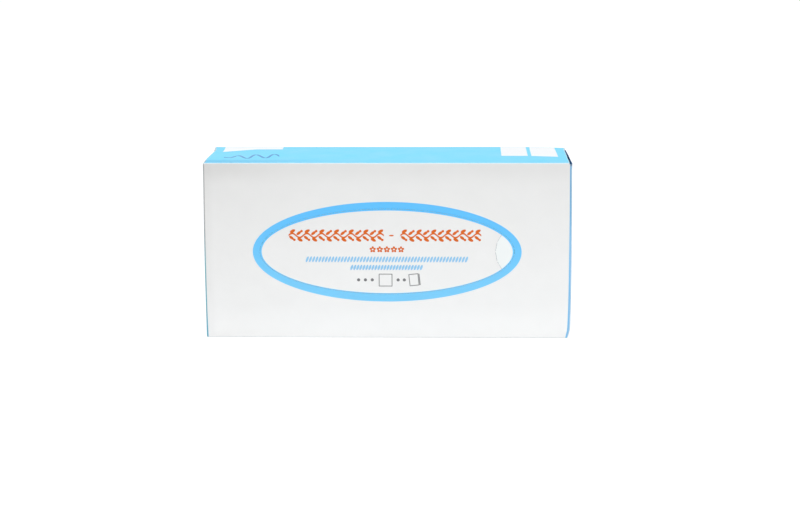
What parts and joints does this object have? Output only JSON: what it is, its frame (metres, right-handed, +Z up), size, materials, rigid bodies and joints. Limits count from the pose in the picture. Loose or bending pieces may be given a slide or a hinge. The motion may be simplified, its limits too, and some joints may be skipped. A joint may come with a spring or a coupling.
{
  "type": "tissue box",
  "caption": "Flat rectangular carton of facial tissues, sealed, standing on its long narrow side, with a perforated oval tear-out and thumb tab in its large front panel.",
  "frame": {"origin": "middle of the narrow wall that it stands on, on the surface", "axes": "+X along the box's length, -Y out of the front panel with the oval, +Z up"},
  "size_m": [0.23, 0.06, 0.1124],
  "materials": {
    "printed_carton": "printed folding boxboard, satin varnish"
  },
  "bodies": {
    "root": {"tissue_carton": "printed_carton"}
  },
  "joints": []
}
